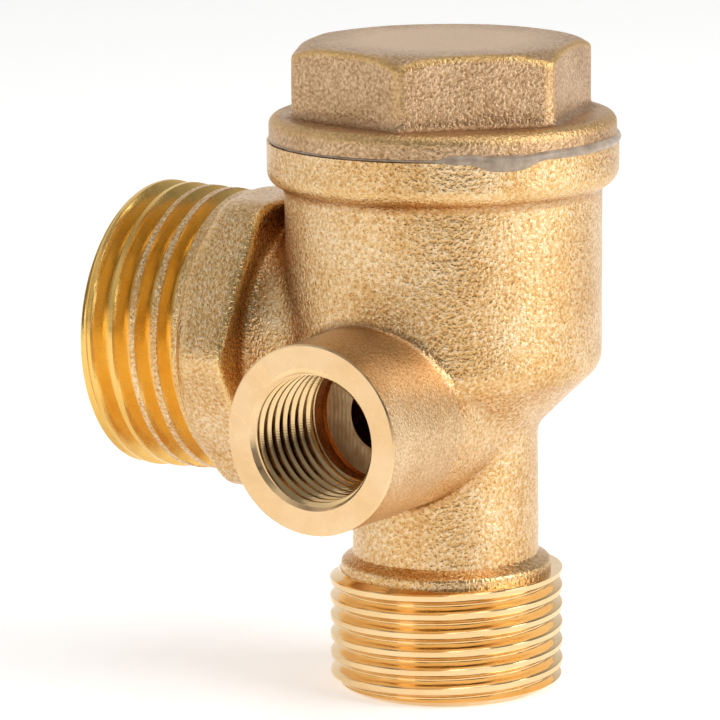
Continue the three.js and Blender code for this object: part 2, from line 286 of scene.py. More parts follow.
def smoothed(shape: Shape, sharp_degrees: float = SHARP_DEGREES) -> Shape:
    """Smooth shading that breaks at edges sharper than the given angle."""
    shape.data.shade_smooth()
    shape.data.set_sharp_from_angle(angle=math.radians(sharp_degrees))
    return shape


def coat(shape: Shape, material: Material) -> Shape:
    """Give every face of a shape one material."""
    shape.data.materials.clear()
    shape.data.materials.append(material)
    return shape


def middles(shape: Shape) -> Array:
    """Middles of a shape's faces, in millimetres from the valve axis."""
    centre = np.empty(len(shape.data.polygons) * 3, np.float32)
    shape.data.polygons.foreach_get("center", centre)
    return (centre.reshape(-1, 3) - np.array(SITE.axis)) / MM


def repaint(shape: Shape, chosen: Array, material: Material) -> None:
    """Give one more material to the chosen faces of a shape.

    Args:
        shape: The shape.
        chosen: True for each face that changes.
        material: What those faces get.
    """
    index = np.empty(len(chosen), np.int32)
    shape.data.polygons.foreach_get("material_index", index)
    shape.data.materials.append(material)
    index[chosen] = len(shape.data.materials) - 1
    shape.data.polygons.foreach_set("material_index", index)


def mark_bends(shape: Shape, distance: Callable[[Array], Array], reach: float = 0.25) -> None:
    """Store how a surface bends at its vertices, as the attribute ``bend``.

    The bend is the Laplacian of the distance divided by three: positive on edges, negative
    in creases, near zero elsewhere.

    Args:
        shape: The shape.
        distance: Distance to the blended solid that it was made from.
        reach: Millimetres over which the Laplacian is taken.
    """
    vertices = shape.data.vertices
    flat = np.empty(len(vertices) * 3, np.float32)
    vertices.foreach_get("co", flat)
    points = (flat.reshape(-1, 3) - np.array(SITE.axis)) / MM
    steps = np.concatenate([np.eye(3), -np.eye(3)]) * reach
    around = sum(distance(points + step) for step in steps)
    bend = (around - 6 * distance(points)) / reach**2 / 3
    # Finishes turn this into brighter worn edges, partly a painted highlight, and painted shade in
    # creases.
    attribute = shape.data.attributes.new("bend", "FLOAT", "POINT")
    attribute.data.foreach_set("value", np.clip(bend, -1, 1).astype(np.float32))


def place(shape: Shape, body: str, slot: str, *nodes: str) -> Shape:
    """Let a finished piece ride on its body and stand for its CAD nodes.

    Args:
        shape: The piece.
        body: The body that carries it.
        slot: The material slot; not used.
        nodes: The CAD nodes that it replaces.

    Returns:
        The piece.
    """
    if nodes:
        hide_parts(*nodes)
    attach(shape, body)
    LOG.info("%s: %d faces on %s", shape.name, len(shape.data.polygons), body)
    return shape


# --------------------------------------------------------- blended solids


def soft_min(a: Array, b: Array, width: float) -> Array:
    """Lesser of two distances, with the crease between them filled over the given width."""
    overlap = np.maximum(width - np.abs(a - b), 0.0) / width
    return np.minimum(a, b) - overlap**2 * width / 4


def soft_max(a: Array, b: Array, width: float) -> Array:
    """Greater of two distances, with the edge between them rounded over the given width."""
    return -soft_min(-a, -b, width)


def drum(rho: Array, along: Array, radius: float, low: float, high: float, edge: float) -> Array:
    """Distance to a round bar with rounded rims.

    Args:
        rho: Distance from the bar's axis.
        along: Position along the axis.
        radius: The bar's radius.
        low: Its near end.
        high: Its far end.
        edge: Radius of the rims.

    Returns:
        The distance, negative inside.
    """
    side = rho - (radius - edge)
    end = np.abs(along - (low + high) / 2) - ((high - low) / 2 - edge)
    outside = np.hypot(np.maximum(side, 0), np.maximum(end, 0))
    return outside + np.minimum(np.maximum(side, end), 0) - edge


def skin(
    distance: Callable[[Array], Array], low: Sequence[float], high: Sequence[float], step: float
) -> tuple[Array, Array]:
    """Closed surface on which a distance is zero.

    The space is cut into cubes. Each cube that the surface crosses gets one point, the mean
    of the crossings of its edges, and each crossed edge joins the four cubes round it with a
    quad. The points are then slid along the distance's gradient onto the surface.

    Args:
        distance: Signed distance of points of shape (n, 3), negative inside.
        low: Lowest corner of the space.
        high: Highest corner of the space.
        step: Side of a cube.

    Returns:
        Points and quads.
    """
    ticks = [np.arange(a, b + step, step) for a, b in zip(low, high)]
    size = tuple(len(t) for t in ticks)
    lattice = np.stack(np.meshgrid(*ticks, indexing="ij"), -1).reshape(-1, 3)
    value = distance(lattice).reshape(size)
    total = np.zeros((*size, 3))
    count = np.zeros(size)
    crossings = []
    for axis in range(3):
        others = [i for i in range(3) if i != axis]
        first = np.take(value, range(size[axis] - 1), axis)
        second = np.take(value, range(1, size[axis]), axis)
        where = np.argwhere((first < 0) != (second < 0))
        inner = np.all(where > 0, axis=1)
        where = where[inner]
        f, s = first[tuple(where.T)], second[tuple(where.T)]
        point = where.astype(float)
        point[:, axis] += f / (f - s)
        cells = []
        for du, dv in ((0, 0), (1, 0), (1, 1), (0, 1)):
            cell = where.copy()
            cell[:, others[0]] -= du
            cell[:, others[1]] -= dv
            np.add.at(total, tuple(cell.T), point)
            np.add.at(count, tuple(cell.T), 1)
            cells.append(np.ravel_multi_index(tuple(cell.T), size))
        quad = np.stack(cells, 1)
        turn_round = (f < 0) if axis != 1 else (f >= 0)
        quad[turn_round] = quad[turn_round][:, ::-1]
        crossings.append(quad)
    used = np.flatnonzero(count.ravel())
    number = np.full(count.size, -1)
    number[used] = np.arange(len(used))
    points = total.reshape(-1, 3)[used] / count.ravel()[used][:, None]
    points = np.array([t[0] for t in ticks]) + points * step
    nudge = step / 20
    for _ in range(3):
        here = distance(points)
        slope = np.stack(
            [(distance(points + nudge * e) - here) / nudge for e in np.eye(3)], 1
        )
        size_squared = np.maximum((slope**2).sum(1), 0.25)
        move = np.clip(here / size_squared, -step / 2, step / 2)
        points = points - slope * move[:, None]
    return points, number[np.concatenate(crossings)]


def waviness(points: Array, length: float, height: float) -> Array:
    """Gentle unevenness of a hot forging: the sum of a few crossed sine waves.

    Args:
        points: Millimetres, shape (n, 3).
        length: Wave length of the longest wave.
        height: Height of the whole sum.

    Returns:
        The sum at each point.
    """
    total = np.zeros(len(points))
    headings = ((1.0, 0.6, -0.4), (-0.5, 1.0, 0.7), (0.3, -0.8, 1.0), (0.9, 0.9, 0.5))
    for i, heading in enumerate(headings):
        pace = TURN / length * (1 + 0.45 * i)
        total += np.sin(points @ np.array(heading) * pace + 1.7 * i) / (1 + i)
    return total * height / 2.1


# --------------------------------------------------------- threads


@dataclass(frozen=True)
class Thread:
    """A screw thread with rounded roots and, on a cast blank, crests left uncut."""

    major: float
    depth: float
    pitch: float
    crest: float
    root: float
    sides: int = 160
    wave: float = 0.35

    def profile(self) -> tuple[Array, Array]:
        """One tooth: a flank, the crest, a flank and the root.

        The flank is a straight line blended with a half cosine by the share ``wave``.

        Returns:
            Pitch fractions and cut depths of its points.
        """
        flank = (1 - self.crest - self.root) / 2
        share = np.linspace(0, 1, 8)
        eased = (1 - self.wave) * share + self.wave * (1 - np.cos(math.pi * share)) / 2
        rise = share[:-1] * flank
        fractions = np.concatenate(
            [rise, [flank, flank + self.crest / 2], flank + self.crest + rise, [1 - self.root]]
        )
        depths = np.concatenate([1 - eased[:-1], [0, 0], eased[:-1], [1]])
        return fractions, depths * self.depth

    def rod(
        self, name: str, start: float, end: float, crest_at: float, crest_angle: float,
        heading: Heading, fade: Callable[[Array], Array] | None = None,
    ) -> Shape:
        """Right-hand threaded bar: the tooth's profile is carried along a helix.

        Every point of the profile climbs one pitch for each turn, so the last column meets
        the first one a whole profile higher. The two ends are closed on the axis with a
        cone each, outside the stretch that is used.

        Args:
            name: The piece's name.
            start: Where the used stretch begins.
            end: Where it ends.
            crest_at: Height at which a crest passes the given angle.
            crest_angle: That angle, in radians.
            heading: The axis that +Z becomes.
            fade: Share of the depth that is cut, as a function of the height.

        Returns:
            The rod.
        """
        fractions, depths = self.profile()
        rows = len(fractions)
        turns = math.ceil((end - start) / self.pitch) + 4
        middle = (1 - self.crest - self.root) / 2 + self.crest / 2
        phase = ((crest_at - start) / self.pitch - middle) % 1.0
        base = start - (2 - phase) * self.pitch
        angle = np.arange(self.sides) * TURN / self.sides
        climb = (fractions[None, :] + np.arange(turns)[:, None]).reshape(-1) * self.pitch
        height = base + climb[:, None] + (angle / TURN * self.pitch)[None, :]
        cut = np.tile(depths, turns)[:, None] * np.ones_like(height)
        if fade is not None:
            cut = cut * fade(height)
        radius = self.major - cut
        direction = angle + crest_angle
        points = np.stack([radius * np.cos(direction), radius * np.sin(direction), height], -1)
        count = len(climb)
        faces = grid_faces(count, self.sides, rows)
        low_rim = np.arange(self.sides)
        step_up = np.arange(rows + 1) * self.sides
        high_row = (count - 1 - rows) * self.sides
        ends = [
            self._fan(low_rim, step_up, count * self.sides),
            self._fan(low_rim + high_row, step_up + high_row, count * self.sides + 1)[:, ::-1],
        ]
        poles = [[0, 0, base - self.pitch], [0, 0, height.max() + self.pitch]]
        everything = np.concatenate([points.reshape(-1, 3), poles])
        return make_shape(name, everything, np.concatenate([faces, *ends]), heading)

    @staticmethod
    def _fan(rim: Array, step_up: Array, pole: int) -> Array:
        """Triangles from a pole to one turn of the helix and to the step that closes it."""
        loop = np.concatenate([rim, step_up[::-1]])
        after = np.roll(loop, -1)
        keep = loop != after
        spokes = np.full(keep.sum(), pole)
        return np.stack([spokes, after[keep], loop[keep], loop[keep]], 1)


# --------------------------------------------------------- finishes


def linear(hex_code: str) -> tuple[float, float, float, float]:
    """Linear colour of an sRGB hex code such as C89A5A."""
    channels = [int(hex_code[i : i + 2], 16) / 255 for i in (0, 2, 4)]
    made = [c / 12.92 if c <= 0.04045 else ((c + 0.055) / 1.055) ** 2.4 for c in channels]
    return (*made, 1.0)


class Nodes:
    """A node tree that is being built, with the steps that its users share."""

    def __init__(self, tree: bpy.types.NodeTree) -> None:
        """Start from an empty tree."""
        tree.nodes.clear()
        self.tree = tree

    def add(self, kind: str, inputs: Inputs | None = None, **settings: Any) -> bpy.types.Node:
        """Add a node with its settings and links.

        Args:
            kind: The node's type, without the word ShaderNode.
            inputs: Values or output sockets for the node's inputs.
            settings: Attributes of the node.

        Returns:
            The node.
        """
        node = self.tree.nodes.new("ShaderNode" + kind)
        for key, value in settings.items():
            setattr(node, key, value)
        for key, value in (inputs or {}).items():
            if isinstance(value, Socket):
                self.tree.links.new(value, node.inputs[key])
            else:
                node.inputs[key].default_value = value
        return node

    def math(self, operation: str, *values: float | Socket) -> Socket:
        """Result of an arithmetic operation."""
        return self.add("Math", dict(enumerate(values)), operation=operation).outputs["Value"]

    def vector(self, operation: str, *values: Any, output: str = "Vector") -> Socket:
        """Result of an operation on vectors."""
        node = self.add("VectorMath", dict(enumerate(values)), operation=operation)
        return node.outputs[output]

    def ramp(self, factor: Socket, *stops: tuple[float, str]) -> Socket:
        """Colour ramp between hex colours.

        Args:
            factor: What drives the ramp.
            stops: Positions and hex colours, in order.

        Returns:
            The colour.
        """
        node = self.add("ValToRGB", {"Fac": factor})
        elements = node.color_ramp.elements
        while len(elements) < len(stops):
            elements.new(0.5)
        for element, (position, hex_code) in zip(elements, stops):
            element.position = position
            element.color = linear(hex_code)
        return node.outputs["Color"]

    def share(self, value: Socket, low: float, high: float, to: Pair = (0.0, 1.0)) -> Socket:
        """Value mapped from low..high onto the given range, and held there outside it."""
        inputs = {"Value": value, "From Min": low, "From Max": high, "To Min": to[0], "To Max": to[1]}
        return self.add("MapRange", inputs).outputs["Result"]

    def mixed(self, factor: Socket, first: Socket, hex_code: str) -> Socket:
        """Colour between the first and a hex colour, by the factor."""
        inputs = {0: factor, 6: first, 7: linear(hex_code)}
        return self.add("Mix", inputs, data_type="RGBA").outputs[2]


class Paint(Nodes):
    """Tree of a new material, whose patterns follow the object's coordinates."""

    def __init__(self, name: str) -> None:
        """Make the material."""
        self.material = bpy.data.materials.new(name)
        self.material.use_nodes = True
        super().__init__(self.material.node_tree)
        self.where = self.add("TexCoord").outputs["Object"]

    def noise(self, size_mm: float, detail: float = 2.0) -> Socket:
        """Noise whose blobs are about the given size in millimetres."""
        scale = 1 / (size_mm * MM)
        inputs = {"Vector": self.where, "Scale": scale, "Detail": detail, "Roughness": 0.55}
        return self.add("TexNoise", inputs).outputs["Fac"]

    def bump(self, height: Socket, strength: float, depth_mm: float) -> Socket:
        """Normals of a relief as deep as given."""
        inputs = {"Height": height, "Strength": strength, "Distance": depth_mm * MM}
        return self.add("Bump", inputs).outputs["Normal"]

    def finished(self, colour: Socket, roughness: float | Socket, **surface: Any) -> Material:
        """Close the tree with the surface shader.

        Args:
            colour: Base colour.
            roughness: Roughness.
            surface: Other inputs of the shader, with low lines for the spaces in their names.

        Returns:
            The material.
        """
        inputs = {"Base Color": colour, "Roughness": roughness}
        inputs |= {key.replace("_", " "): value for key, value in surface.items()}
        shader = self.add("BsdfPrincipled", inputs)
        self.add("OutputMaterial", {"Surface": shader.outputs["BSDF"]})
        return self.material


@dataclass(frozen=True)
class BlastedForging:
    """Sandblasted hot-forged brass: grit leaves dull dimples with glinting rims between them.

    The dimples are as wide as the grit, so they show as a fine grain, and they gather in
    clumps. The tone drifts over a few millimetres where the grit hit harder. By the attribute
    ``bend``, edges are worn bright, partly real wear and partly a painted highlight, and
    creases get painted shade.
    """

    name: str = "sandblasted forged brass"
    pale: str = "F0D4AC"
    tone: str = "DAB076"
    deep: str = "BA864C"
    # edge: worn brass on edges, partly a painted highlight; crease: painted shade in creases
    edge: str = "F0CC8A"
    crease: str = "9A6230"
    grit_mm: float = 0.15
    roughness: Pair = (0.2, 0.38)
    rubbed_height: float = 0.0
    relief_mm: float = 0.13
    clump: float = 1.7
    drift_mm: float = 5.0
    clump_share: float = 0.65
    drift_share: float = 0.25

    def material(self) -> Material:
        """Build the node tree."""
        paint = Paint(self.name)
        grain = paint.noise(self.grit_mm)
        clumps = paint.noise(self.grit_mm * self.clump, 1.0)
        fine = paint.share(grain, 0, 1, (0, 1 - self.clump_share))
        height = paint.math("MULTIPLY_ADD", clumps, self.clump_share, fine)
        steady = paint.share(height, 0, 1, (0, 1 - self.drift_share))
        toned = paint.math("MULTIPLY_ADD", paint.noise(self.drift_mm), self.drift_share, steady)
        colour = paint.ramp(toned, (0.34, self.deep), (0.48, self.tone), (0.62, self.pale))
        bend = paint.add("Attribute", attribute_name="bend").outputs["Fac"]
        # Edges turn to the paler worn colour, partly a painted highlight; creases get painted shade
        colour = paint.mixed(paint.share(bend, 0.1, 0.6, (0, 0.55)), colour, self.edge)
        colour = paint.mixed(paint.share(bend, -0.08, -0.7, (0, 0.6)), colour, self.crease)
        if self.rubbed_height:
            rubbed = self._rubbed(paint)
            colour = paint.mixed(rubbed, colour, self.pale)
            height = paint.math("MULTIPLY", height, paint.share(rubbed, 0, 0.8, (1, 0.15)))
        relief = paint.bump(height, 1.0, self.relief_mm)
        dull = paint.share(grain, 0.35, 0.65, self.roughness)
        return paint.finished(colour, dull, Metallic=1.0, Normal=relief)

    def _rubbed(self, paint: Paint) -> Socket:
        """Share by which the grain is rubbed flat: the middle of the flat top face.

        Args:
            paint: The tree of the finish.

        Returns:
            The share, 0.8 in the middle.
        """
        x, y, z = SITE.axis
        aside = paint.vector("SUBTRACT", paint.where, (x, y, 0))
        flat = paint.vector("MULTIPLY", aside, (1, 1, 0))
        rho = paint.vector("LENGTH", flat, output="Value")
        up = paint.add("SeparateXYZ", {0: paint.where}).outputs["Z"]
        top = z + self.rubbed_height * MM
        inner = paint.share(rho, 5.5 * MM, 8.8 * MM, (0.8, 0))
        return paint.math("MULTIPLY", inner, paint.share(up, top - 0.3 * MM, top))


class Feed(Enum):
    """Axis across which a lathe's feed lines run."""

    X = "X"
    Z = "Z"
    DIAGONAL = "DIAGONAL"


@dataclass(frozen=True)
class CutBrass:
    """Brass cut on a lathe: bright, with the tool's fine feed lines round the work.

    The lines are one feed apart and run across ``along``, the way in which the tool moved,
    and give the reflections a fine silky edge. Stains and smears are a few millimetres and
    under one millimetre wide.
    """

    name: str
    pale: str
    tone: str
    along: Feed
    roughness: float = 0.2
    feed_mm: float = 0.11
    line: float = 0.35
    waves_a_unit: float = 3.2
    line_depth_mm: float = 0.006

    def material(self) -> Material:
        """Build the node tree."""
        paint = Paint(self.name)
        scale = 1 / (self.feed_mm * MM) / self.waves_a_unit
        warp = {"Distortion": 1.5, "Detail": 1.0, "Detail Scale": 2.0}
        lines = paint.add(
            "TexWave", {"Vector": paint.where, "Scale": scale, **warp},
            wave_type="BANDS", bands_direction=self.along.value,
        ).outputs["Fac"]
        colour = paint.ramp(paint.noise(4.0), (0.3, self.tone), (0.7, self.pale))
        spread = (self.roughness * 0.75, self.roughness * 1.4)
        rough = paint.share(paint.noise(0.7, 3.0), 0.3, 0.7, spread)
        relief = paint.bump(lines, self.line, self.line_depth_mm)
        return paint.finished(colour, rough, Metallic=1.0, Normal=relief)


@dataclass(frozen=True)
class Cloudy:
    """Finish of nearly one tone, with faint clouds in it and a fine texture."""

    name: str
    stops: tuple[tuple[float, str], ...]
    cloud_mm: float
    grain_mm: float
    strength: float
    depth_mm: float
    roughness: float
    surface: dict[str, Any] = field(default_factory=lambda: {"Metallic": 1.0})

    def material(self) -> Material:
        """Build the node tree."""
        paint = Paint(self.name)
        colour = paint.ramp(paint.noise(self.cloud_mm, 3.0), *self.stops)
        relief = paint.bump(paint.noise(self.grain_mm), self.strength, self.depth_mm)
        return paint.finished(colour, self.roughness, Normal=relief, **self.surface)


# Anaerobic thread sealant that has oozed out and set: waxy, greyish, a little clear.
CURED_SEALANT = Cloudy(
    "cured anaerobic sealant", ((0.35, "A8937E"), (0.5, "BCA892"), (0.66, "CDBBA6")),
    cloud_mm=0.9, grain_mm=0.5, strength=0.3, depth_mm=0.05, roughness=0.3,
    surface={"IOR": 1.48, "Subsurface_Weight": 0.25, "Transmission_Weight": 0.25,
             "Subsurface_Radius": (0.001, 0.0007, 0.0005)},
)

# Moulded nitrile rubber: matt black with a bloom of the mould's fine texture.
NITRILE_RUBBER = Cloudy(
    "moulded nitrile rubber", ((0.4, "17171A"), (0.7, "2B2B2E")),
    cloud_mm=0.8, grain_mm=0.12, strength=0.4, depth_mm=0.02, roughness=0.62,
    surface={"IOR": 1.52},
)

# Zinc plate of the screw and the washer: bluish, a little dull.
ZINC_PLATE = Cloudy(
    "zinc-plated steel", ((0.35, "A9ACB2"), (0.65, "D4D6DA")),
    cloud_mm=0.6, grain_mm=0.15, strength=0.2, depth_mm=0.01, roughness=0.28,
)

# Stainless spring wire, drawn bright.
DRAWN_WIRE = Cloudy(
    "drawn stainless wire", ((0.35, "B2B1AC"), (0.65, "D9D9D6")),
    cloud_mm=0.6, grain_mm=0.15, strength=0.2, depth_mm=0.01, roughness=0.22,
)


# --------------------------------------------------------- sub-assemblies


@dataclass
class ValveBody:
    """Forged body with its machined threads, faces and bores."""

    neck_r: float = 6.65
    neck_top: float = 19.0
    chamber_r: float = 11.2
    cone_top: float = 23.1
    cone_r: float = 10.9
    collar_r: float = 12.39
    collar_bottom: float = 36.2
    collar_top: float = 39.35
    flange_r: float = 7.5
    flange_low: float = 8.0
    flange_top: float = 9.2
    outlet_end: float = 24.3
    outlet_thread_start: float = 15.4
    outlet_neck_r: float = 8.8
    wrench_flats: float = 20.8
    wrench_start: float = 11.4
    wrench_round_r: float = 11.6
    port_end: float = 18.04
    port_r: float = 6.64
    inlet_bore_r: float = 4.6
    outlet_bore_r: float = 6.5
    outlet_bore_start: float = 6.6
    step: float = 0.3
    skin_low: tuple[float, float, float] = (-18.4, -19.4, 6.5)
    skin_high: tuple[float, float, float] = (13.4, 13.4, 41.0)
    outlet_thread: Thread = Thread(10.4775, 1.1, 1.814, 0.12, 0.18, 220)
    inlet_thread: Thread = Thread(8.331, 0.74, 1.337, 0.26, 0.05, 180, 0.8)
    port_thread: Thread = Thread(5.0, 0.54, 1.0, 0.12, 0.25, 140)
    seat_r: float = 5.9
    seat_top: float = 28.2
    cavity_r: float = 9.2
    cavity_floor: float = 27.0
    tapped_r: float = 9.75
    tapped_bottom: float = 33.8
    inlet_bore_top: float = 29.5
    tap_depth: float = 8.0
    drill_depth: float = 9.1
    drill_r: float = 4.62
    cross_r: float = 2.6
    bare_end: float = 3.2
    crest_drop: float = 0.3
    outlet_crest: float = 17.95
    inlet_crest: float = 3.55
    port_crest_depth: float = 1.75

    def forging_distance(self, points: Array) -> Array:
        """Distance to the forging before it is machined.

        It is the soft union of the neck, the coned chamber, the collar, the outlet's neck
        with its wrench hexagon, the thread's blank and the unloader boss.

        Args:
            points: Millimetres, shape (n, 3).

        Returns:
            The distance, negative inside.
        """
        x, y, z = points.T
        rho = np.hypot(x, y)
        neck = rho - self.neck_r
        neck = np.maximum(neck, np.maximum(self.flange_low - z, z - self.collar_bottom))
        run, rise = self.cone_r - self.neck_r, self.cone_top - self.neck_top
        length = math.hypot(run, rise)
        cone = ((rho - self.neck_r) * rise - (z - self.neck_top) * run) / length
        chamber = soft_max(rho - self.chamber_r, cone, 0.7)
        chamber = np.maximum(chamber, z - self.collar_top - 0.5)
        barrel = soft_min(neck, chamber, 0.6)
        collar = drum(rho, z, self.collar_r, self.collar_bottom, self.collar_top + 3, 1.1)
        collar = np.maximum(collar, z - self.collar_top - 0.5)
        barrel = soft_min(barrel, collar, 0.6)
        branch = self._outlet_distance(-x, y, z - SITE.outlet_height)
        boss = self._boss_distance(x, -y, z - SITE.unloader_height)
        whole = soft_min(soft_min(barrel, branch, 0.8), boss, 0.55)
        return whole + waviness(points, 9.0, 0.05)

    def _outlet_distance(self, along: Array, across: Array, up: Array) -> Array:
        """Distance to the outlet's neck, hexagon and thread blank.

        Args:
            along: Distance from the valve axis, towards the outlet.
            across: Distance aside.
            up: Height over the outlet's axis.

        Returns:
            The distance, negative inside.
        """
        rho = np.hypot(across, up)
        neck = drum(rho, along, self.outlet_neck_r, 0, 12.5, 0.2)
        half = self.wrench_flats / 2
        slant = math.sqrt(3) / 2
        flats = np.abs(up) - half
        for side in (-1, 1):
            flats = soft_max(flats, np.abs(up / 2 + side * slant * across) - half, 0.45)
        hexagon = soft_max(flats, rho - self.wrench_round_r, 0.5)
        hexagon = soft_max(hexagon, self.wrench_start - along, 0.5)
        taper = (rho - 10.6) * 0.5 + (along - self.outlet_thread_start - 0.2) * 0.87
        hexagon = soft_max(hexagon, taper, 0.6)
        hexagon = np.maximum(hexagon, along - 16.5)
        blank = drum(rho, along, self.outlet_thread.major - 0.15, 12, 15.9, 0.2)
        return soft_min(neck, soft_min(hexagon, blank, 0.6), 0.7)

    def _boss_distance(self, across: Array, along: Array, up: Array) -> Array:
        """Distance to the unloader boss, a little thicker at its root."""
        rho = np.hypot(across, up)
        draft = np.clip(self.port_end - along, 0, 12) * 0.012
        return drum(rho - draft, along, self.port_r, 0, self.port_end + 0.6, 0.25)

    def build(self) -> Shape:
        """Forge, machine and finish the body.

        Returns:
            The body.
        """
        forged = BlastedForging().material()
        fine = BlastedForging(
            "finely blasted brass of the boss", "EACFA8", "D2AC7C", "B08858", grit_mm=0.1,
            roughness=(0.28, 0.42), relief_mm=0.07,
        ).material()
        gold = CutBrass("cut brass of the outlet thread", "F4CB78", "EABA62", Feed.X, 0.22).material()
        pale = CutBrass("cut brass of the inlet thread", "F2D3A0", "E8C48C", Feed.Z, 0.13).material()
        faced = CutBrass(
            "faced brass of the unloader port", "F1D0A2", "E9C28E", Feed.DIAGONAL, 0.3, line=0.15
        ).material()
        # Paler than the other cut brass: the turned bottom's own colour, partly painted light on the
        # bottom of the hole.
        lit_ringed = CutBrass(
            "turned bottom of the unloader port", "FCDCAA", "F0C488", Feed.X, 0.55, 0.3, 1.0
        ).material()
        # Darker than the other cut brass: painted shade inside the bores.
        shaded_bored = CutBrass("bored brass", "B87A48", "9C6030", Feed.Z, 0.26).material()
        surface = skin(self.forging_distance, self.skin_low, self.skin_high, self.step)
        body = coat(make_shape("body_forging", *surface), forged)
        joined(body, coat(self._facing(), forged), Join.CUT)
        joined(body, coat(self._port_facing(), faced), Join.CUT)
        joined(body, coat(self._outlet_rod(), gold), Join.ADD)
        joined(body, coat(self._inlet_rod(), pale), Join.ADD)
        joined(body, coat(self._relief_flange(), forged), Join.ADD)
        for space in (self._chamber_tool(), self._inlet_tool(), self._outlet_tool()):
            joined(body, coat(space, shaded_bored), Join.CUT)
        joined(body, self._port_tool(pale, shaded_bored, faced), Join.CUT)
        self._repaint(body, forged, fine, lit_ringed)
        mark_bends(body, self.forging_distance)
        body.name = "valve_body_detail"
        return place(smoothed(body), "housing", "forged_brass", "valve_body")

    def _repaint(self, body: Shape, forged: Material, fine: Material, lit_ringed: Material) -> None:
        """Leave the cast skin on the outlet's crests, then dress the boss and its bottom.

        Args:
            body: The machined body, whose first material is the cast skin.
            forged: Finish of the cast skin.
            fine: Finish of the boss.
            lit_ringed: Finish of the tapped hole's bottom.
        """
        x, y, z = middles(body).T
        start, end = self.outlet_thread_start + 0.2, self.outlet_end - self.bare_end
        on_crest = np.hypot(y, z - SITE.outlet_height) > self.crest_radius(-x) - 0.04
        repaint(body, on_crest & (-x > start) & (-x < end), forged)
        rho = np.hypot(x, z - SITE.unloader_height)
        index = np.empty(len(x), np.int32)
        body.data.polygons.foreach_get("material_index", index)
        boss = (index == 0) & (rho < self.port_r + 0.4) & (-y > 9)
        boss &= (np.hypot(x, y) > self.chamber_r + 0.15) & (-y < self.port_end - 0.1)
        repaint(body, boss, fine)
        # The bottom of the drilled hole takes the paler finish, partly painted light.
        bottom = self.port_end - self.drill_depth
        deep = (-y > bottom - 0.6) & (-y < bottom - 0.15)
        repaint(body, (rho > self.cross_r + 0.05) & (rho < self.drill_r - 0.12) & deep, lit_ringed)

    def crest_radius(self, along: Array | float) -> Array | float:
        """Radius of the outlet's blank, a little thinner towards the hexagon."""
        share = (along - self.outlet_thread_start) / (self.outlet_end - self.outlet_thread_start)
        return self.outlet_thread.major - self.crest_drop * (1 - share)

    def _facing(self) -> Shape:
        """Cutter that faces the collar's top flat."""
        top = self.collar_top
        return turned("facing", [(0, top), (20, top), (20, top + 5), (0, top + 5)], 64)

    def _port_facing(self) -> Shape:
        """Cutter that faces the unloader boss and breaks its edge."""
        end, r = self.port_end, self.port_r
        outline = [(0, end), (r - 0.12, end), (r + 0.3, end - 0.3), (12, end - 0.3),
                   (12, end + 4), (0, end + 4)]
        return turned("port_facing", outline, 160, Heading.UNLOADER)

    def _outlet_rod(self) -> Shape:
        """Male thread of the outlet, chamfered at its end and fading into the hexagon.

        Returns:
            The threaded bar.
        """
        start, end = self.outlet_thread_start, self.outlet_end

        def fade(height: Array) -> Array:
            """The die bites at the end of the blank and lifts out before the hexagon."""
            share = np.clip(np.minimum(height - start, (end - height) * 1.3 + 0.1) / 1.4, 0, 1)
            return share * share * (3 - 2 * share)

        rod = self.outlet_thread.rod(
            "outlet_thread", start, end, self.outlet_crest, -math.pi / 2, Heading.OUTLET, fade
        )
        low_r, high_r = self.crest_radius(start), self.crest_radius(end)
        outline = [(0, start - 1), (low_r, start - 1), (low_r, start), (high_r, end - 0.3),
                   (high_r - 0.3, end), (0, end)]
        return trimmed(rod, outline, 180, Heading.OUTLET)

    def _inlet_rod(self) -> Shape:
        """Male thread of the inlet, with a lead at its foot.

        Returns:
            The threaded bar.
        """
        rod = self.inlet_thread.rod(
            "inlet_thread", 0, self.flange_low, self.inlet_crest, math.pi, Heading.UP
        )
        r, top = self.inlet_thread.major, self.flange_low + 0.4
        outline = [(0, 0), (r - 1.0, 0), (r - 0.35, 0.45), (r + 0.5, 0.9), (r + 0.5, top),
                   (0, top)]
        return trimmed(rod, outline, 180)

    def _relief_flange(self) -> Shape:
        """Low flange above the inlet thread, coned towards the neck."""
        r, low, top = self.flange_r, self.flange_low, self.flange_top
        outline = [
            (0, low - 0.6, 0), (r - 0.1, low - 0.6, 0), (r, low + 0.1, 0.2),
            (r, top - 0.1, 0.25), (self.neck_r + 0.2, top + 0.25, 0.5),
            (self.neck_r - 0.25, top + 0.7, 0), (0, top + 0.7, 0),
        ]
        return turned("relief_flange", rounded(outline), 180)

    def _chamber_tool(self) -> Shape:
        """Space of the chamber, with the raised seat left standing in it."""
        seat, top, floor = self.seat_r, self.seat_top, self.cavity_floor
        wide, tapped, step_up = self.cavity_r, self.tapped_r, self.tapped_bottom
        above = self.collar_top + 2.15
        outline = [(0, top), (seat - 0.2, top), (seat, top - 0.2), (seat, floor), (wide, floor),
                   (wide, step_up), (tapped, step_up), (tapped, above), (0, above)]
        return turned("chamber_space", outline, 120)

    def _inlet_tool(self) -> Shape:
        """Bore of the inlet, with a chamfer at its mouth."""
        r, top = self.inlet_bore_r, self.inlet_bore_top
        outline = [(0, -1), (r + 0.5, -1), (r + 0.5, 0), (r, 0.5), (r, top), (0, top)]
        return turned("inlet_space", outline, 120)

    def _outlet_tool(self) -> Shape:
        """Bore of the outlet, with a chamfer at its mouth."""
        r, start, end = self.outlet_bore_r, self.outlet_bore_start, self.outlet_end
        outline = [(0, start), (r - 0.4, start), (r, start + 0.4), (r, end - 0.5),
                   (r + 0.5, end), (r + 0.5, end + 1), (0, end + 1)]
        return turned("outlet_space", outline, 120, Heading.OUTLET)

